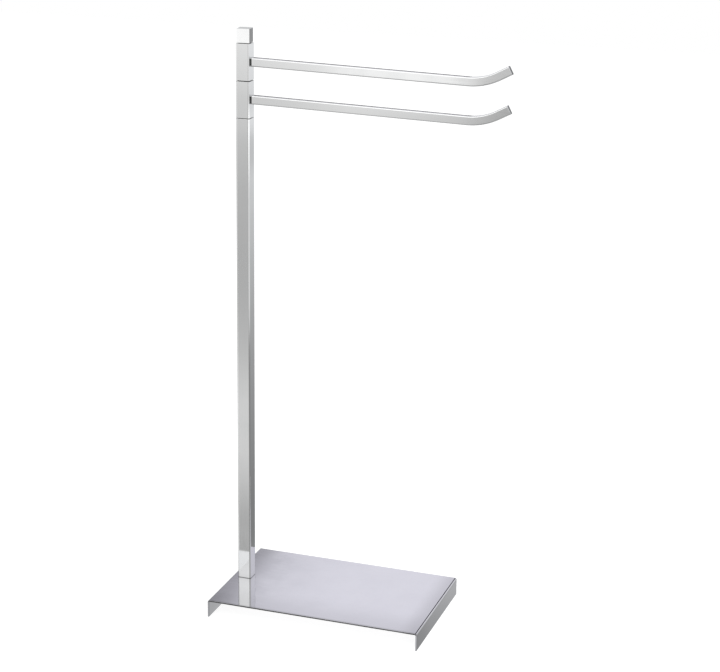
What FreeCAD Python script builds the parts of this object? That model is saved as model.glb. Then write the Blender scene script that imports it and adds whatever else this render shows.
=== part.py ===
"""Freestanding towel stand with two swinging arms.

A sheet folded into a low bench is the base. A square post stands near its left edge, and a spindle
stands in the post's top. Two short lengths of the post's tube turn on the spindle as collars, and each
carries a flat towel bar whose far end turns up. A square cap holds the stack down.

Millimetres, +Z up, the stand's front towards -Y. Every piece is built round the spindle's axis, with
the floor at Z = 0 and the arms at rest over the base, along +X. The whole stand is then moved so that
its origin is on the floor at the middle of its box.
"""
import FreeCAD, Part
import math
import os

V = FreeCAD.Vector
X_AXIS = V(1, 0, 0)
Y_AXIS = V(0, 1, 0)
Z_AXIS = V(0, 0, 1)
NEAR = 0.01  # tolerance for finding edges and faces by their place

# ---- Base ----
PLATE_LENGTH = 316.0
PLATE_DEPTH = 202.0
PLATE_HEIGHT = 26.0  # floor to the plate's top face
SHEET = 2.0
FOLD_INNER_R = 0.8
PLATE_EDGE_BREAK = 0.3
POST_MARGIN = 10.0  # plate's left edge to the post's left face
DOUBLER_LENGTH = 50.0
DOUBLER_DEPTH = 90.0
DOUBLER_THICK = 3.0
DOUBLER_FOLD_GAP = 1.2  # doubler's left edge to the start of the fold

# ---- Square tube of the post and the collars ----
TUBE_SIDE = 20.0
TUBE_WALL = 1.5
TUBE_EDGE_R = 2.0
TUBE_END_BREAK = 0.3
POST_LENGTH = 687.0
COLLAR_LENGTH = 50.6

# ---- Blocks in the post's ends ----
FOOT_BLOCK_LENGTH = 25.0
TOP_BLOCK_LENGTH = 25.0
BLOCK_EDGE_R = 1.0
BLOCK_FIT = 0.05  # play on each side between a block or bush and the tube round it

# ---- Foot screw, its washers and the dowel ----
FOOT_SCREW_D = 8.0
FOOT_SCREW_LENGTH = 25.0
FOOT_THREAD_DEPTH = 20.0
FOOT_HEAD_FLATS = 13.0
FOOT_HEAD_HEIGHT = 5.3
FOOT_WASHER_D = 16.0
FOOT_WASHER_THICK = 1.6
LOCK_WASHER_D = 14.8
LOCK_WASHER_THICK = 2.0
LOCK_WASHER_SLIT = 0.6
LOCK_WASHER_SLANT = 20.0  # degrees
SCREW_HOLE_PLAY = 0.2  # radial, in plain holes and washers
DOWEL_D = 3.0
DOWEL_DEPTH = 7.0  # how far the dowel enters the foot block
DOWEL_OFFSET = 5.5  # from the post's centre, along X and along Y
DOWEL_FIT = 0.03

# ---- Spindle, thrust washers and spring ----
SPINDLE_D = 8.0
SPINDLE_THREAD_D = 6.0
SPINDLE_FOOT_THREAD = 20.0
SPINDLE_CAP_THREAD = 10.0
SPINDLE_CHAMFER = 0.6
RUNNING_FIT = 0.05  # radial, spindle in bush
THREAD_FIT = 0.05  # radial, thread in its tapped hole
WASHER_D = 18.0
WASHER_THICK = 0.8  # under the lower collar and over the upper one
MIDDLE_WASHER_THICK = 1.2
WASHER_PLAY = 0.1  # radial, thrust washer round the spindle
SPRING_D = 13.0
SPRING_THICK = 0.5
SPRING_PLAY = 0.3  # radial, spring round the spindle and in the cap
SPRING_HEIGHT = 1.6  # compressed, and the depth of its recess in the cap

# ---- Cap ----
CAP_SIDE = 18.5
CAP_TURN = 6.0  # degrees from the post's faces, as it came tight on its thread
CAP_HEIGHT = 19.5
CAP_EDGE_BREAK = 0.2
CAP_THREAD_DEPTH = 12.0
GRUB_D = 4.0
GRUB_LENGTH = 6.0
GRUB_TIP_GAP = 0.05
GRUB_SOCKET_FLATS = 2.0
GRUB_SOCKET_DEPTH = 2.0

# ---- Bushes ----
BUSH_LENGTH = 12.0

# ---- Arm bars ----
BAR_HEIGHT = 12.5
BAR_THICK = 8.0
BAR_WALL = 1.2
BAR_EDGE_R = 1.6
BAR_STRAIGHT = 318.0  # spindle axis to the start of the bend
BEND_R = 85.0  # on the bar's centre line
BEND_ANGLE = 29.0
TIP_LENGTH = 17.0  # straight part of the tube after the bend
BAR_SLOPE = 1.3  # degrees down from level, because the bar's root is sawn that much out of square
SAW_SPARE = 1.0  # length that is sawn off at the root

# ---- Arm tip plug ----
PLUG_FIT = 0.05  # play on each side between a plug and the bar round it
TIP_HEAD_THICK = 1.0
TIP_PLUG_LENGTH = 8.0
TIP_HEAD_BREAK = 0.3

# ---- Arm root: plug, tenon, stud, clamp plate and nut ----
ROOT_PLUG_LENGTH = 24.0
TENON_HEIGHT = 9.0
TENON_THICK = 4.6
TENON_SHORT = 0.2  # the tenon stops this far inside the wall, so that the clamp plate pulls on the wall
TENON_FIT = 0.05
STUD_D = 4.0
STUD_DEPTH = 14.0  # how far the stud enters the root plug
STUD_PAST_NUT = 0.5
CLAMP_SIDE = 14.0
CLAMP_THICK = 1.0
NUT_FLATS = 7.0
NUT_THICK = 2.2

# ---- Heights up the stand, each from the one below ----
PLATE_UNDERSIDE = PLATE_HEIGHT - SHEET
DOUBLER_UNDERSIDE = PLATE_UNDERSIDE - DOUBLER_THICK
POST_TOP = PLATE_HEIGHT + POST_LENGTH
LOWER_COLLAR_Z = POST_TOP + WASHER_THICK
MIDDLE_WASHER_Z = LOWER_COLLAR_Z + COLLAR_LENGTH
UPPER_COLLAR_Z = MIDDLE_WASHER_Z + MIDDLE_WASHER_THICK
TOP_WASHER_Z = UPPER_COLLAR_Z + COLLAR_LENGTH
CAP_Z = TOP_WASHER_Z + WASHER_THICK

# ---- Sizes that several pieces share ----
TUBE_INNER_SIDE = TUBE_SIDE - 2 * TUBE_WALL
BLOCK_SIDE = TUBE_INNER_SIDE - 2 * BLOCK_FIT
PLATE_LEFT = -TUBE_SIDE / 2 - POST_MARGIN
FOLD_OUTER_R = FOLD_INNER_R + SHEET
BAR_INNER_HEIGHT = BAR_HEIGHT - 2 * BAR_WALL
BAR_INNER_THICK = BAR_THICK - 2 * BAR_WALL
PLUG_HEIGHT = BAR_INNER_HEIGHT - 2 * PLUG_FIT
PLUG_THICK = BAR_INNER_THICK - 2 * PLUG_FIT
STUD_HOLE_R = STUD_D / 2 + THREAD_FIT


def rounded_face(width, depth, radius):
    """Flat face in XY, centred on the Z axis, with its four corners rounded."""
    box = Part.makeBox(width, depth, 1, V(-width / 2, -depth / 2, 0))
    upright = [edge for edge in box.Edges if edge.BoundBox.ZLength > NEAR]
    if radius > 0:
        box = box.makeFillet(radius, upright)
    floor = min(box.Faces, key=lambda face: face.CenterOfMass.z)
    return Part.Face(floor.OuterWire)


def block(side_x, side_y, height, z=0.0, radius=0.0):
    """Upright block with rounded vertical edges, standing at z on the Z axis."""
    solid = rounded_face(side_x, side_y, radius).extrude(V(0, 0, height))
    solid.translate(V(0, 0, z))
    return solid


def rod(diameter, length, z=0.0, x=0.0, y=0.0):
    """Upright round rod."""
    return Part.makeCylinder(diameter / 2, length, V(x, y, z))


def ring(outer_d, inner_d, height, z):
    """Flat ring on the Z axis."""
    return rod(outer_d, height, z).cut(rod(inner_d, height, z))


def hexagon(flats, height, z=0.0):
    """Upright hexagonal prism on the Z axis, with two of its flats across Y."""
    corner_r = flats / 2 / math.cos(math.radians(30))
    corners = [V(corner_r, 0, 0)]
    for step in range(1, 7):
        turn = math.radians(60 * step)
        corners.append(V(corner_r * math.cos(turn), corner_r * math.sin(turn), 0))
    corners[-1] = corners[0]
    solid = Part.Face(Part.makePolygon(corners)).extrude(V(0, 0, height))
    solid.translate(V(0, 0, z))
    return solid


def chamfered_rod(diameter, length, chamfer, z):
    """Upright rod with both ends chamfered."""
    solid = rod(diameter, length, z)
    rims = [edge for edge in solid.Edges if edge.BoundBox.ZLength < NEAR]
    return solid.makeChamfer(chamfer, rims)


def break_end_edges(solid, low_z, high_z, size):
    """Rounds the outer rim of an upright tube at its two ends."""
    rims = []
    for face in solid.Faces:
        box = face.BoundBox
        flat = box.ZLength < NEAR
        at_end = abs(box.ZMin - low_z) < NEAR or abs(box.ZMin - high_z) < NEAR
        if flat and at_end:
            rims.extend(face.OuterWire.Edges)
    return solid.makeFillet(size, rims)


def square_tube(length, z):
    """Length of the square tube, standing at z on the Z axis."""
    outer = block(TUBE_SIDE, TUBE_SIDE, length, z, TUBE_EDGE_R)
    outer = break_end_edges(outer, z, z + length, TUBE_END_BREAK)
    inner = block(TUBE_INNER_SIDE, TUBE_INNER_SIDE, length, z, TUBE_EDGE_R - TUBE_WALL)
    return outer.cut(inner)


# ---- Base plate and what is fixed to it ----


def folded_blank(length, depth, height, left, radius):
    """Block under a fold: its two top edges along Y are rounded. The front and back ends are square."""
    box = Part.makeBox(length, depth, height, V(left, -depth / 2, 0))
    folds = [
        edge
        for edge in box.Edges
        if edge.BoundBox.YLength > depth / 2 and edge.BoundBox.ZMin > height / 2
    ]
    return box.makeFillet(radius, folds)


def base_plate():
    """Sheet folded down at both ends, with the post's screw hole and dowel hole."""
    outer = folded_blank(PLATE_LENGTH, PLATE_DEPTH, PLATE_HEIGHT, PLATE_LEFT, FOLD_OUTER_R)
    front_and_back = [edge for edge in outer.Edges if edge.BoundBox.YLength < NEAR]
    rims = [edge for edge in front_and_back if edge.BoundBox.ZMax > NEAR]
    outer = outer.makeFillet(PLATE_EDGE_BREAK, rims)
    inner = folded_blank(
        PLATE_LENGTH - 2 * SHEET,
        PLATE_DEPTH,
        PLATE_UNDERSIDE,
        PLATE_LEFT + SHEET,
        FOLD_INNER_R,
    )
    return drill_foot(outer.cut(inner))


def drill_foot(plate):
    """Cuts the foot screw's plain hole and the dowel's hole through a plate."""
    plate = plate.cut(rod(FOOT_SCREW_D + 2 * SCREW_HOLE_PLAY, PLATE_HEIGHT))
    dowel_hole_d = DOWEL_D + 2 * DOWEL_FIT
    return plate.cut(rod(dowel_hole_d, PLATE_HEIGHT, 0, DOWEL_OFFSET, DOWEL_OFFSET))


def base_doubler():
    """Thick plate under the sheet that spreads the post's load, spot-welded to it."""
    left = PLATE_LEFT + FOLD_OUTER_R + DOUBLER_FOLD_GAP
    corner = V(left, -DOUBLER_DEPTH / 2, DOUBLER_UNDERSIDE)
    plate = Part.makeBox(DOUBLER_LENGTH, DOUBLER_DEPTH, DOUBLER_THICK, corner)
    return drill_foot(plate)


def foot_washer():
    bore = FOOT_SCREW_D + 2 * SCREW_HOLE_PLAY
    return ring(FOOT_WASHER_D, bore, FOOT_WASHER_THICK, DOUBLER_UNDERSIDE - FOOT_WASHER_THICK)


def foot_lock_washer():
    """Split spring washer, pressed flat, with its slanted slit."""
    z = DOUBLER_UNDERSIDE - FOOT_WASHER_THICK - LOCK_WASHER_THICK
    washer = ring(LOCK_WASHER_D, FOOT_SCREW_D + 2 * SCREW_HOLE_PLAY, LOCK_WASHER_THICK, z)
    slit = Part.makeBox(
        LOCK_WASHER_D,
        LOCK_WASHER_SLIT,
        3 * LOCK_WASHER_THICK,
        V(0, -LOCK_WASHER_SLIT / 2, z - LOCK_WASHER_THICK),
    )
    slit.rotate(V(0, 0, z + LOCK_WASHER_THICK / 2), X_AXIS, LOCK_WASHER_SLANT)
    return washer.cut(slit)


def foot_screw():
    """Hexagon-headed screw that pulls the post down on the plate."""
    seat_z = DOUBLER_UNDERSIDE - FOOT_WASHER_THICK - LOCK_WASHER_THICK
    head_z = seat_z - FOOT_HEAD_HEIGHT
    corner_r = FOOT_HEAD_FLATS / 2 / math.cos(math.radians(30))
    corner_drop = corner_r - FOOT_HEAD_FLATS / 2
    bevel = Part.makeCone(FOOT_HEAD_FLATS / 2, corner_r, corner_drop, V(0, 0, head_z))
    body = rod(2 * corner_r, FOOT_HEAD_HEIGHT - corner_drop, head_z + corner_drop)
    head = hexagon(FOOT_HEAD_FLATS, FOOT_HEAD_HEIGHT, head_z).common(bevel.fuse(body))
    return head.fuse(rod(FOOT_SCREW_D, FOOT_SCREW_LENGTH, seat_z)).removeSplitter()


def foot_dowel():
    """Pin from the doubler's underside up into the foot block."""
    length = PLATE_HEIGHT - DOUBLER_UNDERSIDE + DOWEL_DEPTH
    return rod(DOWEL_D, length, DOUBLER_UNDERSIDE, DOWEL_OFFSET, DOWEL_OFFSET)


# ---- Post ----


def foot_block():
    """Block in the post's lower end, tapped for the foot screw and drilled for the dowel."""
    solid = block(BLOCK_SIDE, BLOCK_SIDE, FOOT_BLOCK_LENGTH, PLATE_HEIGHT, BLOCK_EDGE_R)
    solid = solid.cut(rod(FOOT_SCREW_D + 2 * THREAD_FIT, FOOT_THREAD_DEPTH, PLATE_HEIGHT))
    dowel_hole = rod(
        DOWEL_D + 2 * DOWEL_FIT,
        DOWEL_DEPTH,
        PLATE_HEIGHT,
        DOWEL_OFFSET,
        DOWEL_OFFSET,
    )
    return solid.cut(dowel_hole)


def post_top_block():
    """Block in the post's upper end, flush with it and tapped for the spindle."""
    z = POST_TOP - TOP_BLOCK_LENGTH
    solid = block(BLOCK_SIDE, BLOCK_SIDE, TOP_BLOCK_LENGTH, z, BLOCK_EDGE_R)
    return solid.cut(rod(SPINDLE_THREAD_D + 2 * THREAD_FIT, TOP_BLOCK_LENGTH, z))


# ---- Spindle stack and cap ----


def spindle():
    """Shouldered rod from the post's top block, through both collars, into the cap."""
    journal_top = CAP_Z + SPRING_HEIGHT
    foot = chamfered_rod(
        SPINDLE_THREAD_D,
        SPINDLE_FOOT_THREAD + SPINDLE_CHAMFER,
        SPINDLE_CHAMFER,
        POST_TOP - SPINDLE_FOOT_THREAD,
    )
    head = chamfered_rod(
        SPINDLE_THREAD_D,
        SPINDLE_CAP_THREAD + SPINDLE_CHAMFER,
        SPINDLE_CHAMFER,
        journal_top - SPINDLE_CHAMFER,
    )
    journal = rod(SPINDLE_D, journal_top - POST_TOP, POST_TOP)
    return journal.fuse([foot, head]).removeSplitter()


def thrust_washer(z, thick):
    """Plastic washer that keeps a turning face off the next one and shows as a dark gap."""
    return ring(WASHER_D, SPINDLE_D + 2 * WASHER_PLAY, thick, z)


def friction_spring():
    """Disc spring between the top washer and the cap: a shallow cone, wide end down."""
    inner_r = SPINDLE_D / 2 + SPRING_PLAY
    outer_r = SPRING_D / 2
    top = CAP_Z + SPRING_HEIGHT
    section = [
        V(outer_r, 0, CAP_Z),
        V(outer_r, 0, CAP_Z + SPRING_THICK),
        V(inner_r, 0, top),
        V(inner_r, 0, top - SPRING_THICK),
        V(outer_r, 0, CAP_Z),
    ]
    return Part.Face(Part.makePolygon(section)).revolve(V(0, 0, 0), Z_AXIS, 360)


def grub_height():
    """Height of the grub screw's axis: half way up the spindle's thread in the cap."""
    return CAP_Z + SPRING_HEIGHT + SPINDLE_CAP_THREAD / 2


def towards_back(solid):
    """Lays a piece built up the Z axis along +Y, at the grub screw's height."""
    solid.rotate(V(0, 0, 0), X_AXIS, -90)
    solid.translate(V(0, 0, grub_height()))
    return solid


def turned_with_cap(solid):
    solid.rotate(V(0, 0, 0), Z_AXIS, CAP_TURN)
    return solid


def top_cap():
    """Sharp-edged square block with the spring's recess, the spindle's thread and the grub hole."""
    solid = block(CAP_SIDE, CAP_SIDE, CAP_HEIGHT, CAP_Z)
    solid = solid.makeChamfer(CAP_EDGE_BREAK, solid.Edges)
    solid = solid.cut(rod(SPRING_D + 2 * SPRING_PLAY, SPRING_HEIGHT, CAP_Z))
    thread = rod(SPINDLE_THREAD_D + 2 * THREAD_FIT, CAP_THREAD_DEPTH, CAP_Z + SPRING_HEIGHT)
    solid = solid.cut(thread)
    grub_hole = towards_back(rod(GRUB_D + 2 * THREAD_FIT, CAP_SIDE / 2))
    return turned_with_cap(solid.cut(grub_hole))


def cap_grub_screw():
    """Headless screw at the cap's back, with a hexagon socket in its outer end."""
    tip = SPINDLE_THREAD_D / 2 + GRUB_TIP_GAP
    body = rod(GRUB_D, GRUB_LENGTH, tip)
    socket_z = tip + GRUB_LENGTH - GRUB_SOCKET_DEPTH
    socket = hexagon(GRUB_SOCKET_FLATS, GRUB_SOCKET_DEPTH, socket_z)
    return turned_with_cap(towards_back(body.cut(socket)))


# ---- Collars ----


def arm_height(collar_z):
    """Height of a bar's centre line: the middle of its collar."""
    return collar_z + COLLAR_LENGTH / 2


def along_x(solid, x, collar_z):
    """Lays a piece built up the Z axis along +X, from x, at the middle of its collar."""
    solid.rotate(V(0, 0, 0), Y_AXIS, 90)
    solid.translate(V(x, 0, arm_height(collar_z)))
    return solid


def collar(collar_z):
    """Tube with the slot in its right wall for the root plug's tenon."""
    tube = square_tube(COLLAR_LENGTH, collar_z)
    slot = block(TENON_HEIGHT + 2 * TENON_FIT, TENON_THICK + 2 * TENON_FIT, TUBE_WALL)
    return tube.cut(along_x(slot, TUBE_INNER_SIDE / 2, collar_z))


def bush(z):
    """Square plastic plug with the running bore."""
    solid = block(BLOCK_SIDE, BLOCK_SIDE, BUSH_LENGTH, z, BLOCK_EDGE_R)
    return solid.cut(rod(SPINDLE_D + 2 * RUNNING_FIT, BUSH_LENGTH, z))


# ---- Arms ----


def bent_along_bar(section, start_x):
    """Runs a section along the bar's centre line: straight from start_x, up the bend, out to the tip.

    The section lies in XY round the Z axis, with the bar's height along X.
    """
    face = section.copy()
    face.rotate(V(0, 0, 0), Y_AXIS, 90)
    face.translate(V(start_x, 0, 0))
    straight = face.extrude(V(BAR_STRAIGHT - start_x, 0, 0))
    face.translate(V(BAR_STRAIGHT - start_x, 0, 0))
    centre = V(BAR_STRAIGHT, 0, BEND_R)
    bend = face.revolve(centre, -Y_AXIS, BEND_ANGLE)
    face.rotate(centre, -Y_AXIS, BEND_ANGLE)
    tip = face.extrude(tip_direction() * TIP_LENGTH)
    return straight.fuse([bend, tip]).removeSplitter()


def tip_direction():
    """Direction of the bar after its bend."""
    turn = math.radians(BEND_ANGLE)
    return V(math.cos(turn), 0, math.sin(turn))


def tip_end():
    """Centre of the tube's end at the tip."""
    turn = math.radians(BEND_ANGLE)
    bend_end = V(BAR_STRAIGHT + BEND_R * math.sin(turn), 0, BEND_R * (1 - math.cos(turn)))
    return bend_end + tip_direction() * TIP_LENGTH


def sloped_down(solid, collar_z):
    """Tilts a piece down about the middle of the bar's root, and saws off what would enter the collar."""
    root = V(TUBE_SIDE / 2, 0, arm_height(collar_z))
    solid.rotate(root, Y_AXIS, BAR_SLOPE)
    saw = block(2 * SAW_SPARE, 2 * BAR_THICK, 2 * BAR_HEIGHT)
    saw.translate(root - V(SAW_SPARE, 0, BAR_HEIGHT))
    return solid.cut(saw)


def arm_bar(collar_z):
    """Flat tube from the collar's face to its turned-up tip."""
    outer = rounded_face(BAR_HEIGHT, BAR_THICK, BAR_EDGE_R)
    inner = rounded_face(BAR_INNER_HEIGHT, BAR_INNER_THICK, BAR_EDGE_R - BAR_WALL)
    start_x = TUBE_SIDE / 2 - SAW_SPARE
    tube = bent_along_bar(outer, start_x).cut(bent_along_bar(inner, start_x))
    tube.translate(V(0, 0, arm_height(collar_z)))
    return sloped_down(tube, collar_z)


def plug_body(length):
    """Plain plug that fits the bar's inside, up the Z axis with the bar's height along X."""
    return block(PLUG_HEIGHT, PLUG_THICK, length, 0, BAR_EDGE_R - BAR_WALL)


def arm_tip_plug(collar_z):
    """Plug with a flat head that closes the bar's end."""
    head = block(BAR_HEIGHT, BAR_THICK, TIP_HEAD_THICK, 0, BAR_EDGE_R)
    rim = max(head.Faces, key=lambda face: face.CenterOfMass.z).OuterWire.Edges
    head = head.makeFillet(TIP_HEAD_BREAK, rim)
    body = plug_body(TIP_PLUG_LENGTH)
    body.translate(V(0, 0, -TIP_PLUG_LENGTH))
    plug = head.fuse(body).removeSplitter()
    plug.rotate(V(0, 0, 0), Y_AXIS, 90 - BEND_ANGLE)
    plug.translate(tip_end() + V(0, 0, arm_height(collar_z)))
    return sloped_down(plug, collar_z)


def arm_root_plug(collar_z):
    """Block in the bar's root. Its tenon into the collar's wall and its tapped hole are level."""
    root_x = TUBE_SIDE / 2
    body = along_x(plug_body(ROOT_PLUG_LENGTH + SAW_SPARE), root_x - SAW_SPARE, collar_z)
    tenon_length = TUBE_WALL - TENON_SHORT
    tenon_x = root_x - tenon_length
    tenon = along_x(block(TENON_HEIGHT, TENON_THICK, tenon_length), tenon_x, collar_z)
    hole = along_x(rod(2 * STUD_HOLE_R, tenon_length + STUD_DEPTH), tenon_x, collar_z)
    return sloped_down(body, collar_z).fuse(tenon).removeSplitter().cut(hole)


def arm_stud(collar_z):
    """Threaded stud from the root plug, through the clamp plate and the nut."""
    inner_end = TUBE_INNER_SIDE / 2 - CLAMP_THICK - NUT_THICK - STUD_PAST_NUT
    outer_end = TUBE_SIDE / 2 + STUD_DEPTH
    return along_x(rod(STUD_D, outer_end - inner_end), inner_end, collar_z)


def arm_clamp_plate(collar_z):
    """Square plate inside the collar that bridges the slot."""
    plate = block(CLAMP_SIDE, CLAMP_SIDE, CLAMP_THICK)
    plate = plate.cut(rod(STUD_D + 2 * SCREW_HOLE_PLAY, CLAMP_THICK))
    return along_x(plate, TUBE_INNER_SIDE / 2 - CLAMP_THICK, collar_z)


def arm_nut(collar_z):
    """Thin nut on the stud, inside the collar."""
    nut = hexagon(NUT_FLATS, NUT_THICK).cut(rod(2 * STUD_HOLE_R, NUT_THICK))
    return along_x(nut, TUBE_INNER_SIDE / 2 - CLAMP_THICK - NUT_THICK, collar_z)


def arm_pieces(name, collar_z):
    """One collar with its bushes, its bar and what holds them."""
    return {
        name + "_collar": collar(collar_z),
        name + "_bush_bottom": bush(collar_z),
        name + "_bush_top": bush(collar_z + COLLAR_LENGTH - BUSH_LENGTH),
        name + "_arm_bar": arm_bar(collar_z),
        name + "_arm_root_plug": arm_root_plug(collar_z),
        name + "_arm_stud": arm_stud(collar_z),
        name + "_arm_clamp_plate": arm_clamp_plate(collar_z),
        name + "_arm_nut": arm_nut(collar_z),
        name + "_arm_tip_plug": arm_tip_plug(collar_z),
    }


# ---- The whole stand ----


def stand_pieces():
    """Base, post, spindle stack and cap: what stays still."""
    return {
        "base_plate": base_plate(),
        "base_doubler": base_doubler(),
        "foot_washer": foot_washer(),
        "foot_lock_washer": foot_lock_washer(),
        "foot_screw": foot_screw(),
        "foot_dowel": foot_dowel(),
        "foot_block": foot_block(),
        "post_tube": square_tube(POST_LENGTH, PLATE_HEIGHT),
        "post_top_block": post_top_block(),
        "spindle": spindle(),
        "thrust_washer_bottom": thrust_washer(POST_TOP, WASHER_THICK),
        "thrust_washer_middle": thrust_washer(MIDDLE_WASHER_Z, MIDDLE_WASHER_THICK),
        "thrust_washer_top": thrust_washer(TOP_WASHER_Z, WASHER_THICK),
        "friction_spring": friction_spring(),
        "top_cap": top_cap(),
        "cap_grub_screw": cap_grub_screw(),
    }


def move_to_origin(pieces):
    """Moves the stand so that the origin is on the floor, at the middle of its box."""
    boxes = [solid.optimalBoundingBox(False) for solid in pieces.values()]
    middle_x = (min(box.XMin for box in boxes) + max(box.XMax for box in boxes)) / 2
    middle_y = (min(box.YMin for box in boxes) + max(box.YMax for box in boxes)) / 2
    for solid in pieces.values():
        solid.translate(V(-middle_x, -middle_y, 0))
    print("spindle axis at x %.3f, y %.3f" % (-middle_x, -middle_y))


def main():
    pieces = stand_pieces()
    pieces.update(arm_pieces("lower", LOWER_COLLAR_Z))
    pieces.update(arm_pieces("upper", UPPER_COLLAR_Z))
    move_to_origin(pieces)
    os.makedirs("parts", exist_ok=True)
    for name, solid in pieces.items():
        solid.exportStep("parts/" + name + ".step")


main()
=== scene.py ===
import bpy
import math
from mathutils import Matrix, Vector


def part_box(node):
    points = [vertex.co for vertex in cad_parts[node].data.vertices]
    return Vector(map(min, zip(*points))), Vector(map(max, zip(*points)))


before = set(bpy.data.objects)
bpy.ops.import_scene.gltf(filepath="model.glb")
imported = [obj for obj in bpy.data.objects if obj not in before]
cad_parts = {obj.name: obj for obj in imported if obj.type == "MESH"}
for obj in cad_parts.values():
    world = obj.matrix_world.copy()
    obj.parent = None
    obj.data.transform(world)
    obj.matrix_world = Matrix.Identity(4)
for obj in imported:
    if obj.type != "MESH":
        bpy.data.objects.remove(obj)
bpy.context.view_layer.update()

# ---- Base plate ----
# The base is one 2 mm steel sheet, folded down at both ends, polished and then plated with nickel and
# bright chromium. The plating is thin and mirrors whatever stands round it, with a faint haze from the
# polishing mop along the sheet. Its colour is painted darker towards both ends and the front, most of all
# in a strip along the front edge: painted shade and painted darker reflection.


def linear(colour):
    """Linear RGBA of an sRGB hex colour."""
    channels = [int(colour[i:i + 2], 16) / 255 for i in (1, 3, 5)]
    return [c / 12.92 if c <= 0.04045 else ((c + 0.055) / 1.055) ** 2.4 for c in channels] + [1]


def add(tree, kind, settings=None, links=None):
    """Adds a node. Settings name its inputs or its own values, and links name inputs and their sources."""
    node = tree.nodes.new("ShaderNode" + kind)
    for name, value in (settings or {}).items():
        if isinstance(name, int) or name in node.inputs:
            node.inputs[name].default_value = value
        else:
            setattr(node, name, value)
    for name, (source, output) in (links or {}).items():
        tree.links.new(source.outputs[output], node.inputs[name])
    return node


def new_material(name):
    """An empty material and its node tree."""
    material = bpy.data.materials.new(name)
    material.use_nodes = True
    material.node_tree.nodes.clear()
    return material, material.node_tree


def dress(material, *nodes):
    """Puts a material on CAD nodes, through their objects' own slots."""
    for name in nodes:
        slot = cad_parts[name].material_slots[0]
        slot.link = "OBJECT"
        slot.material = material


def bright_chrome(name, clean, clouded, haze, along, wave_mm, wave_depth_mm, painted_shade_zones=()):
    """Chromium over nickel on polished steel. The eye sees the room in it, bent a little by the metal
    under the plating, with fine mop lines along the piece that only dull the mirror here and there.

    clean and clouded are the plating's two colours, haze is its least and most roughness, and along is
    the direction of the mop lines. Each zone of painted shade is an axis, where the colour is darkest and
    how far the darkening reaches, in metres, and how much of the colour is left there.
    """
    material, tree = new_material(name)
    place = add(tree, "TexCoord")
    # Mop lines are about 0.05 mm apart. That is too fine to show, so they are drawn 1.2 mm apart. Each
    # runs for about 90 mm.
    across = 1 / 0.0012
    lengthways = 1 / 0.090
    stretch = [lengthways if axis else across for axis in along]
    lines_at = add(tree, "Mapping", {"Scale": stretch}, {"Vector": (place, "Object")})
    lines = add(tree, "TexNoise", {"Scale": 1.0, "Detail": 3.0}, {"Vector": (lines_at, 0)})
    # Clouding from wiping and water lies in patches about 35 mm wide.
    patches = add(tree, "TexNoise", {"Scale": 1 / 0.035, "Detail": 4.0, "Roughness": 0.6},
                  {"Vector": (place, "Object")})
    colour = add(tree, "Mix", {"data_type": "RGBA", 6: linear(clean), 7: linear(clouded)},
                 {0: (patches, 0)})
    axes = add(tree, "SeparateXYZ", links={0: (place, "Object")})
    # Painted shade: each zone darkens the plating's colour by position, in place of shade and darker
    # reflections.
    for axis, start, end, left in painted_shade_zones:
        painted_shade = add(tree, "MapRange",
                   {"interpolation_type": "SMOOTHSTEP", "From Min": start, "From Max": end,
                    "To Min": left, "To Max": 1.0}, {"Value": (axes, axis)})
        colour = add(tree, "Mix", {"data_type": "RGBA", "blend_type": "MULTIPLY", 0: 1.0},
                     {6: (colour, 2), 7: (painted_shade, 0)})
    gloss = add(tree, "MapRange",
                {"From Min": 0.35, "From Max": 0.75, "To Min": haze[0], "To Max": haze[1]},
                {"Value": (patches, 0)})
    streaked = add(tree, "MapRange", {"From Min": 0.3, "From Max": 0.8, "To Min": -0.012, "To Max": 0.022},
                   {"Value": (lines, 0)})
    rough = add(tree, "Math", {"operation": "ADD", "use_clamp": True}, {0: (gloss, 0), 1: (streaked, 0)})
    # The sheet or tube under the plating is never quite flat.
    waves = add(tree, "TexNoise", {"Scale": 1000 / wave_mm, "Detail": 1.0}, {"Vector": (place, "Object")})
    wavy = add(tree, "Bump", {"Strength": 1.0, "Distance": wave_depth_mm / 1000}, {"Height": (waves, 0)})
    lined = add(tree, "Bump", {"Strength": 0.25, "Distance": 0.000002},
                {"Height": (lines, 0), "Normal": (wavy, 0)})
    metal = add(tree, "BsdfPrincipled", {"Metallic": 1.0},
                {"Base Color": (colour, 2), "Roughness": (rough, 0), "Normal": (lined, 0)})
    add(tree, "OutputMaterial", links={"Surface": (metal, 0)})
    return material


PLATE_LOW, PLATE_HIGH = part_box("base_plate")
dress(bright_chrome(
    "bright_chrome_on_polished_sheet", "#CACACB", "#C3C3C5", (0.05, 0.09), (1, 0, 0), 60, 0.006,
    # Painted shade: darker towards the left end, the right end and the front, darkest in a strip along the
    # front edge.
    [("X", PLATE_LOW[0], PLATE_LOW[0] + 0.190, 0.86),
     ("X", PLATE_HIGH[0], PLATE_HIGH[0] - 0.034, 0.78),
     ("Y", PLATE_LOW[1], PLATE_LOW[1] + 0.071, 0.85),
     ("Y", PLATE_LOW[1], PLATE_LOW[1] + 0.0045, 0.65)]), "base_plate")

# ---- Doubler and the foot's fixings ----
# Under the sheet lies a 3 mm doubler. A washer, a split lock washer and an M8 hexagon screw clamp it and
# the sheet to the post, and a dowel keeps the post square. All of them are zinc plated or plain steel.


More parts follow.
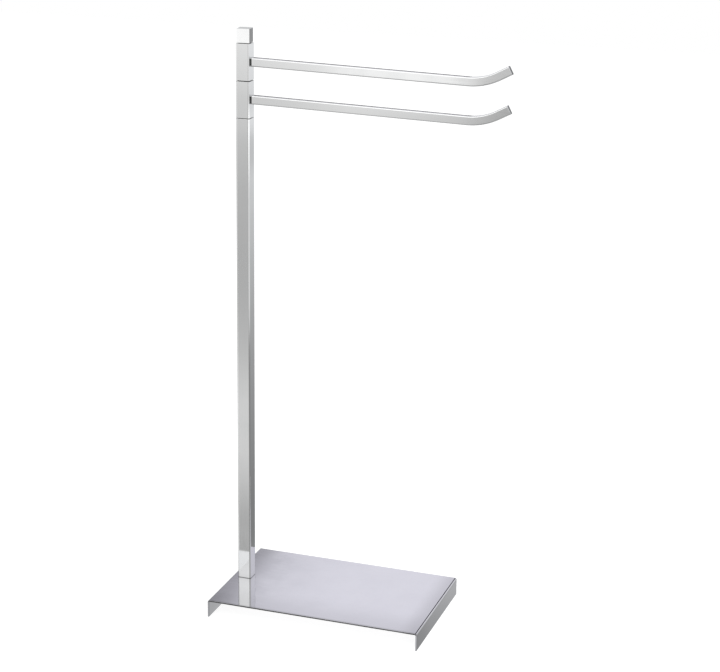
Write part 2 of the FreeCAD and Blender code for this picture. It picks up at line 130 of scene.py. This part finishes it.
def zinc_plate():
    """Zinc plated steel with a clear passivation: a pale grey with a faint blue and straw bloom, and the
    fine grain of an etched surface."""
    material, tree = new_material("clear_passivated_zinc")
    place = add(tree, "TexCoord")
    # Patches of bloom are about 9 mm wide, and the grain is 0.4 mm, drawn at its real size.
    bloom = add(tree, "TexNoise", {"Scale": 1 / 0.009, "Detail": 3.0}, {"Vector": (place, "Object")})
    tint = add(tree, "ValToRGB", links={"Fac": (bloom, 0)})
    stops = tint.color_ramp.elements
    stops[0].position, stops[0].color = 0.35, linear("#A3ABB5")
    stops[1].position, stops[1].color = 0.70, linear("#B6B3A6")
    grain = add(tree, "TexVoronoi", {"Scale": 1 / 0.0004}, {"Vector": (place, "Object")})
    rough = add(tree, "MapRange", {"To Min": 0.30, "To Max": 0.46}, {"Value": (bloom, 0)})
    etched = add(tree, "Bump", {"Strength": 0.35, "Distance": 0.00002}, {"Height": (grain, 0)})
    metal = add(tree, "BsdfPrincipled", {"Metallic": 1.0},
                {"Base Color": (tint, 0), "Roughness": (rough, 0), "Normal": (etched, 0)})
    add(tree, "OutputMaterial", links={"Surface": (metal, 0)})
    return material


def oiled_steel(name, dark, light, roughness):
    """Hardened steel left bare or blackened and then oiled: dark, with a soft uneven shine."""
    material, tree = new_material(name)
    place = add(tree, "TexCoord")
    # Heat and oil leave patches about 3 mm wide.
    patches = add(tree, "TexNoise", {"Scale": 1 / 0.003, "Detail": 4.0}, {"Vector": (place, "Object")})
    tint = add(tree, "Mix", {"data_type": "RGBA", 6: linear(dark), 7: linear(light)}, {0: (patches, 0)})
    rough = add(tree, "MapRange", {"To Min": roughness - 0.08, "To Max": roughness + 0.1},
                {"Value": (patches, 0)})
    scale = add(tree, "Bump", {"Strength": 0.3, "Distance": 0.00001}, {"Height": (patches, 0)})
    metal = add(tree, "BsdfPrincipled", {"Metallic": 1.0},
                {"Base Color": (tint, 2), "Roughness": (rough, 0), "Normal": (scale, 0)})
    add(tree, "OutputMaterial", links={"Surface": (metal, 0)})
    return material


zinc = zinc_plate()
spring_steel = oiled_steel("oiled_spring_steel", "#3F3C39", "#6A6660", 0.34)
dress(zinc, "base_doubler", "foot_washer", "foot_screw")
dress(spring_steel, "foot_lock_washer", "foot_dowel")

# ---- Post ----
# The post is 20 mm square drawn steel tube with rounded edges, polished along its length and plated like
# the base. A tapped block is pressed into each end, zinc plated, and hidden once the stand is together.
# Its colour is painted darker at its foot, most in a thin line just above the base and faintly for 10 mm
# up: painted shade where the post meets the base.

plated_tube = bright_chrome(
    "bright_chrome_on_drawn_tube", "#CACACA", "#C2C3C3", (0.04, 0.075), (0, 0, 1), 45, 0.004,
    # Painted shade at the foot of the post, where it meets the base.
    [("Z", PLATE_HIGH[2] + 0.0002, PLATE_HIGH[2] + 0.0016, 0.45),
     ("Z", PLATE_HIGH[2], PLATE_HIGH[2] + 0.010, 0.93)])
dress(plated_tube, "post_tube")
dress(zinc, "foot_block", "post_top_block")

# ---- Spindle, thrust washers and spring ----
# A ground stainless spindle stands in the post's top block. Three black acetal washers part the turning
# faces and show as thin dark lines, and a disc spring under the cap presses the stack together.


def ground_steel():
    """Stainless steel ground on a lathe: warm grey with fine rings round the axis."""
    material, tree = new_material("ground_stainless_steel")
    place = add(tree, "TexCoord")
    # Grinding rings are about 0.1 mm apart, and are drawn 0.5 mm apart so that they can be seen.
    rings_at = add(tree, "Mapping", {"Scale": (20, 20, 1 / 0.0005)}, {"Vector": (place, "Object")})
    rings = add(tree, "TexNoise", {"Scale": 1.0, "Detail": 2.0}, {"Vector": (rings_at, 0)})
    tint = add(tree, "Mix", {"data_type": "RGBA", 6: linear("#B9B5AF"), 7: linear("#CCC9C4")},
               {0: (rings, 0)})
    rough = add(tree, "MapRange", {"To Min": 0.16, "To Max": 0.30}, {"Value": (rings, 0)})
    cut = add(tree, "Bump", {"Strength": 0.3, "Distance": 0.00001}, {"Height": (rings, 0)})
    metal = add(tree, "BsdfPrincipled", {"Metallic": 1.0},
                {"Base Color": (tint, 2), "Roughness": (rough, 0), "Normal": (cut, 0)})
    add(tree, "OutputMaterial", links={"Surface": (metal, 0)})
    return material


def moulded_acetal(name, dark, light):
    """Moulded acetal: a waxy plastic with a fine even grain from the mould."""
    material, tree = new_material(name)
    place = add(tree, "TexCoord")
    # The mould's spark grain is about 0.15 mm, drawn at its real size.
    grain = add(tree, "TexNoise", {"Scale": 1 / 0.00015, "Detail": 2.0}, {"Vector": (place, "Object")})
    clouds = add(tree, "TexNoise", {"Scale": 1 / 0.004, "Detail": 2.0}, {"Vector": (place, "Object")})
    tint = add(tree, "Mix", {"data_type": "RGBA", 6: linear(dark), 7: linear(light)}, {0: (clouds, 0)})
    rough = add(tree, "MapRange", {"To Min": 0.32, "To Max": 0.46}, {"Value": (grain, 0)})
    skin = add(tree, "Bump", {"Strength": 0.25, "Distance": 0.000008}, {"Height": (grain, 0)})
    plastic = add(tree, "BsdfPrincipled", {"IOR": 1.48},
                  {"Base Color": (tint, 2), "Roughness": (rough, 0), "Normal": (skin, 0)})
    add(tree, "OutputMaterial", links={"Surface": (plastic, 0)})
    return material


black_acetal = moulded_acetal("moulded_black_acetal", "#121214", "#1B1B1D")
white_acetal = moulded_acetal("moulded_white_acetal", "#DEDDD6", "#E8E7E0")
dress(ground_steel(), "spindle")
dress(black_acetal, "thrust_washer_bottom", "thrust_washer_middle", "thrust_washer_top")
dress(spring_steel, "friction_spring")

# ---- Collars, and the bushes in them ----
# Each collar is a short length of the post's tube, cut square, deburred and plated, so that it lines up
# with the post. Two white acetal bushes pressed into its ends run on the spindle.

for arm in ("lower", "upper"):
    dress(plated_tube, arm + "_collar")
    dress(white_acetal, arm + "_bush_bottom", arm + "_bush_top")

# ---- Arm bars ----
# A towel bar is flat drawn tube, 12.5 by 8 mm with rounded edges, bent upwards near its end and then
# plated. Drawn flat tube is a little less true than the post, so it wavers slightly along its length.

plated_bar = bright_chrome(
    "bright_chrome_on_flat_tube", "#CACACA", "#C3C4C4", (0.045, 0.08), (1, 0, 0), 40, 0.004)
for arm in ("lower", "upper"):
    dress(plated_bar, arm + "_arm_bar")

# ---- What holds an arm in its collar ----
# A zinc plated plug is soldered into the bar's root. Its tenon sits in the collar's wall, and a stud, a
# clamp plate and a thin nut inside the collar draw it tight.

for arm in ("lower", "upper"):
    dress(zinc, *(arm + "_arm_" + piece for piece in ("root_plug", "stud", "clamp_plate", "nut")))

# ---- Tip plugs ----
# The bar's open end is closed by a plug with a flat head, cast in zinc and plated like the bar. A casting
# takes a less even polish than drawn tube, so its mirror is softer and more broken.

plated_casting = bright_chrome(
    "bright_chrome_on_zinc_casting", "#C6C7C8", "#B9BABB", (0.10, 0.17), (0, 1, 0), 6, 0.002)
for arm in ("lower", "upper"):
    dress(plated_casting, arm + "_arm_tip_plug")

# ---- Cap ----
# The cap is a solid block milled square with sharp edges, polished flat and plated. It screws down on the
# spindle, and a blackened grub screw at its back locks it.

plated_block = bright_chrome(
    "bright_chrome_on_milled_block", "#CBCBCB", "#C5C6C6", (0.05, 0.08), (1, 0, 0), 30, 0.001)
dress(plated_block, "top_cap")
dress(oiled_steel("blackened_steel", "#1B1B1C", "#2C2B2A", 0.42), "cap_grub_screw")

# ---- Floor and cards ----
# A pale paper floor. It glows enough that it stays white also in the stand's shadow, as in the photograph.
# From below it is clear, so that the underside can be seen.


def stage_sheet(name, left, right, front, back, height, material):
    """A flat sheet of the studio, which isn't part of the stand."""
    mesh = bpy.data.meshes.new(name)
    mesh.from_pydata([(left, front, height), (right, front, height), (right, back, height),
                      (left, back, height)], [], [(0, 1, 2, 3)])
    mesh.materials.append(material)
    sheet = bpy.data.objects.new(name, mesh)
    bpy.context.scene.collection.objects.link(sheet)
    return sheet


FLOOR_HALF = 6.0
FLOOR_GLOW = 0.88
paper, tree = new_material("white_paper_floor")
matt = add(tree, "BsdfDiffuse", {"Color": linear("#A4A4A4")})
glow = add(tree, "Emission", {"Strength": FLOOR_GLOW})
both = add(tree, "AddShader", links={0: (matt, 0), 1: (glow, 0)})
clear = add(tree, "BsdfTransparent")
side = add(tree, "NewGeometry")
one_sided = add(tree, "MixShader", links={0: (side, "Backfacing"), 1: (both, 0), 2: (clear, 0)})
add(tree, "OutputMaterial", links={"Surface": (one_sided, 0)})
floor = stage_sheet("studio_floor", -FLOOR_HALF, FLOOR_HALF, -FLOOR_HALF, FLOOR_HALF, 0, paper)
floor.visible_glossy = False

# Three bright cards lie on the floor, one past the stand's left end and two along its front. Only the
# chrome shows them: they light the foot of the post and the cut ends of the legs.
CARD_HEIGHT = 0.0002  # clear of the floor, so that the two sheets don't share one plane
CARD_WHITE = "#FCFDFF"
CARDS = {
    "post_card": {"left": -0.50, "right": -0.2185, "front": -0.156, "back": -0.060, "glow": 1.37},
    "left_leg_card": {"left": -0.2185, "right": 0.05, "front": -0.1475, "back": -0.101, "glow": 1.37},
    "right_leg_card": {"left": 0.05, "right": 0.30, "front": -0.1475, "back": -0.101, "glow": 2.0},
}
for name, size in CARDS.items():
    card_paper, tree = new_material(name + "_paper")
    glow = add(tree, "Emission", {"Color": linear(CARD_WHITE), "Strength": size["glow"]})
    add(tree, "OutputMaterial", links={"Surface": (glow, 0)})
    card = stage_sheet(name, size["left"], size["right"], size["front"], size["back"], CARD_HEIGHT,
                       card_paper)
    card.visible_camera = False
    card.visible_diffuse = False
    card.visible_shadow = False

# ---- What the chrome sees of the studio ----
# White to the camera. To the chrome it is a pale room with soft boxes and a few grey flags, by which a
# photographer gives mirror-bright metal its tones. Angles are in degrees: azimuth turns from +Y towards
# +X, height is above the horizon, and strengths are those of the light, where white is 1.

world = bpy.data.worlds.new("studio")
bpy.context.scene.world = world
world.use_nodes = True
tree = world.node_tree
tree.nodes.clear()
place = add(tree, "TexCoord")
split = add(tree, "SeparateXYZ", links={0: (place, "Generated")})
turn = add(tree, "Math", {"operation": "ARCTAN2"}, {0: (split, "X"), 1: (split, "Y")})
azimuth = add(tree, "Math", {"operation": "DEGREES"}, {0: (turn, 0)})
rise = add(tree, "Math", {"operation": "ARCSINE"}, {0: (split, "Z")})
height = add(tree, "Math", {"operation": "DEGREES"}, {0: (rise, 0)})

# How strength changes with height in front of the stand and behind it, and with azimuth all round. Many
# stops were set from grey levels measured in the photograph, made linear and divided by what the chrome
# reflects: along the post, at every 50th row of pixels, those from -21.8 to -11 degrees of height, and
# along the lower bar those from -163.8 to -159 degrees of azimuth. Some were then changed.
BRIGHTEST = 2.5
CURVES = {
    "front": (height, [
        (-60, 0.75), (-30, 0.60), (-27, 0.09), (-24.4, 0.09), (-23.6, 0.66), (-23.2, 0.86), (-22.8, 0.58),
        (-21.8, 0.83), (-20.3, 1.08), (-18.7, 1.05), (-17.1, 0.81), (-15.6, 0.72), (-14, 0.72),
        (-12.5, 0.76), (-11, 0.86), (-10.45, 0.91), (-10.15, 1.05), (-9.85, 0.94), (-9.4, 1.03),
        (-9.05, 1.13), (-8.75, 1.12), (-8.3, 1.20), (-7.9, 1.27), (-6, 1.33), (5, 1.4), (9, 1.4),
        (13, 1.12), (40, 1.15), (90, 1.4)]),
    "back": (height, [
        (-60, 0.70), (-31, 0.50), (-26, 0.37), (-25.3, 0.46), (-24.2, 0.60), (-23.5, 0.33), (-21.8, 0.33),
        (-20.3, 0.39), (-18.7, 0.455), (-17.1, 0.545), (-15.6, 0.645), (-14, 0.78), (-12.5, 0.92),
        (-11.6, 1.0), (-11.2, 0.72), (-10.9, 0.75), (-10.5, 1.15), (-10.2, 1.25), (-9.85, 0.96),
        (-9.1, 1.14), (-8.75, 1.16), (-7.8, 1.23), (-4, 1.2), (1, 1.0), (5.5, 0.75), (8, 0.80),
        (13, 0.90), (18, 1.12), (50, 1.30), (90, 1.40)]),
    "round": (azimuth, [
        (-180, 0.9), (-168, 0.72), (-166.6, 0.66), (-165.6, 0.62), (-165.1, 0.73), (-164.6, 0.92),
        (-163.8, 1.0), (-162.6, 1.06), (-161.4, 1.14), (-160.7, 1.15), (-159, 1.06), (-158, 1.0),
        (-135, 1.0), (-90, 1.1), (-40, 1.0), (38, 1.0), (48, 1.1), (140, 1.1), (150, 1.0), (170, 1.0),
        (180, 0.9)]),
}
curves = {}
for name, (angle, stops) in CURVES.items():
    first, last = stops[0][0], stops[-1][0]
    along = add(tree, "MapRange", {"From Min": first, "From Max": last}, {"Value": (angle, 0)})
    curves[name] = add(tree, "ValToRGB", links={"Fac": (along, 0)})
    elements = curves[name].color_ramp.elements
    while len(elements) < len(stops):
        elements.new(0.5)
    for element, (at, strength) in zip(elements, stops):
        element.position = (at - first) / (last - first)
        element.color = [strength / BRIGHTEST] * 3 + [1]
# The front curve gives way to the back one across the stand's two sides.
SIDE_BLEND = 0.15
facing = add(tree, "MapRange",
             {"interpolation_type": "SMOOTHSTEP", "From Min": SIDE_BLEND, "From Max": -SIDE_BLEND},
             {"Value": (split, "Y")})
walls = add(tree, "Mix", {"data_type": "RGBA"},
            {0: (facing, 0), 6: (curves["back"], 0), 7: (curves["front"], 0)})
room = add(tree, "VectorMath", {"operation": "MULTIPLY"}, {0: (walls, 2), 1: (curves["round"], 0)})
room = add(tree, "VectorMath", {"operation": "SCALE", "Scale": BRIGHTEST * BRIGHTEST}, {0: (room, 0)})
light = (room, 0)

# Soft boxes and flags: azimuth from and to, height from and to, softness, strength, and how far a panel
# leans, in degrees of azimuth lost for each degree of height.
PANELS = [
    (45, 180, -40, -16.8, 1.5, 0.38, 0),
    (45, 180, -16.5, -11.5, 1.5, 1.15, 0),
    (45, 150, -11.9, -9.9, 0.6, 1.75, 0),
    (45, 150, -10.9, -9.9, 0.8, 2.2, 0),
    (150, 165, -10.8, -6.5, 1.0, 0.13, 0),
    (-173, -167.4, -9.2, -4, 1.2, 1.66, 0),
    (-164.7, -160.4, -9.5, -6, 1.1, 1.56, 0),
    (-168, -165.4, -9.3, -7.5, 0.6, 0.92, 0),
    (4, 16.5, -11, 3, 3.0, 0.43, 0),
    (10, 21, 2.5, 11, 3.0, 0.27, 0),
    (18, 40, -2, 20, 3.0, 1.05, 0),
    (-13, 15, 18, 40, 3.0, 0.10, 0),
    (-60, -0.05, 14, 40, 1.1, 0.53, 0.91),
    (-25, -12, 8.1, 10.9, 0.5, 0.05, 0),
    (14, 60, 17, 40, 4.0, 1.6, 0),
    (-167.5, -157, -4, 38, 3.0, 2.3, 0),
    (-153, -143, -25, 27, 2.0, 2.3, 0),
    (-166, -150, 17, 30, 4.0, 2.4, 0),
    (19.5, 40, -32, -24.6, 1.0, 0.80, 0),
    (6, 18, -32, -22, 1.0, 0.48, 0),
    (6, 18, -25.2, -22, 2.0, 0.70, 0),
]
for left, right, low, high, soft, strength, lean in PANELS:
    upright = add(tree, "Math", {"operation": "MULTIPLY_ADD", 1: lean}, {0: (height, 0), 2: (azimuth, 0)})
    mask = None
    edges = ((upright, left, 1), (upright, right, -1), (height, low, 1), (height, high, -1))
    for angle, at, inwards in edges:
        edge = add(tree, "MapRange",
                   {"interpolation_type": "SMOOTHSTEP", "From Min": at - inwards * soft / 2,
                    "From Max": at + inwards * soft / 2}, {"Value": (angle, 0)})
        if mask:
            edge = add(tree, "Math", {"operation": "MULTIPLY"}, {0: (mask, 0), 1: (edge, 0)})
        mask = edge
    covered = add(tree, "Mix", {"data_type": "RGBA", 7: [strength] * 3 + [1]}, {0: (mask, 0), 6: light})
    light = (covered, 2)

# The room's white is a little blue behind the stand, and lavender from 12 to 18 degrees upwards.
WALL_TINT = (0.990, 1.0, 1.018, 1)
OVERHEAD_TINT = (0.985, 0.975, 1.070, 1)
behind = add(tree, "MapRange", {"interpolation_type": "SMOOTHSTEP", "From Min": -0.1, "From Max": 0.3},
             {"Value": (split, "Y")})
above = add(tree, "MapRange", {"interpolation_type": "SMOOTHSTEP", "From Min": 12, "From Max": 18},
            {"Value": (height, 0)})
tint = add(tree, "Mix", {"data_type": "RGBA", 6: WALL_TINT, 7: OVERHEAD_TINT}, {0: (above, 0)})
tinted = add(tree, "Mix", {"data_type": "RGBA", "blend_type": "MULTIPLY"},
             {0: (behind, 0), 6: light, 7: (tint, 2)})

LIGHT_STRENGTH = 0.62
ray = add(tree, "LightPath")
seen = add(tree, "Math", {"operation": "MAXIMUM"},
           {0: (ray, "Is Camera Ray"), 1: (ray, "Is Transmission Ray")})
white = add(tree, "Background", {"Color": (1, 1, 1, 1), "Strength": 1.0})
plain = add(tree, "Background", {"Color": (1, 1, 1, 1), "Strength": LIGHT_STRENGTH})
mirrored = add(tree, "Background", {"Strength": 1.0}, {"Color": (tinted, 2)})
lit = add(tree, "MixShader", links={0: (ray, "Is Glossy Ray"), 1: (plain, 0), 2: (mirrored, 0)})
final = add(tree, "MixShader", links={0: (seen, 0), 1: (lit, 0), 2: (white, 0)})
add(tree, "OutputWorld", links={"Surface": (final, 0)})

# ---- Lamps ----
# One large soft box over the front and a weaker one behind light the floor and the plastic pieces. The
# metal sees the studio's own soft boxes instead of them.

SOFT_BOXES = {
    "front_soft_box": {"at": (-0.9, -1.6, 2.6), "size": 1.8, "watts": 38},
    "back_soft_box": {"at": (0.8, 1.8, 2.4), "size": 1.6, "watts": 14},
}
LAMP_AIM = Vector((0, 0, 0.2))
for name, box in SOFT_BOXES.items():
    lamp = bpy.data.lights.new(name, "AREA")
    lamp.shape = "SQUARE"
    lamp.size = box["size"]
    lamp.energy = box["watts"]
    lamp_object = bpy.data.objects.new(name, lamp)
    lamp_object.location = box["at"]
    lamp_object.rotation_euler = (LAMP_AIM - Vector(box["at"])).to_track_quat("-Z", "Y").to_euler()
    lamp_object.visible_glossy = False
    lamp_object.visible_camera = False
    bpy.context.scene.collection.objects.link(lamp_object)

# ---- Camera ----
# A long lens from the right of the front, above the stand and tilted down, held a little off level.

CAMERA_LENS = 92.4
CAMERA_AT = (0.7843, -2.3453, 1.1653)
CAMERA_YAW = 18.639
CAMERA_DIP = 16.819
CAMERA_ROLL = 0.838
camera_data = bpy.data.cameras.new("photo_camera")
camera_data.lens = CAMERA_LENS
camera_data.sensor_width = 36.0
camera = bpy.data.objects.new("photo_camera", camera_data)
camera.matrix_world = (
    Matrix.Translation(CAMERA_AT)
    @ Matrix.Rotation(math.radians(CAMERA_YAW), 4, "Z")
    @ Matrix.Rotation(math.radians(90 - CAMERA_DIP), 4, "X")
    @ Matrix.Rotation(math.radians(CAMERA_ROLL), 4, "Z"))
bpy.context.scene.collection.objects.link(camera)
bpy.context.scene.camera = camera
bpy.context.scene.view_settings.view_transform = "Standard"
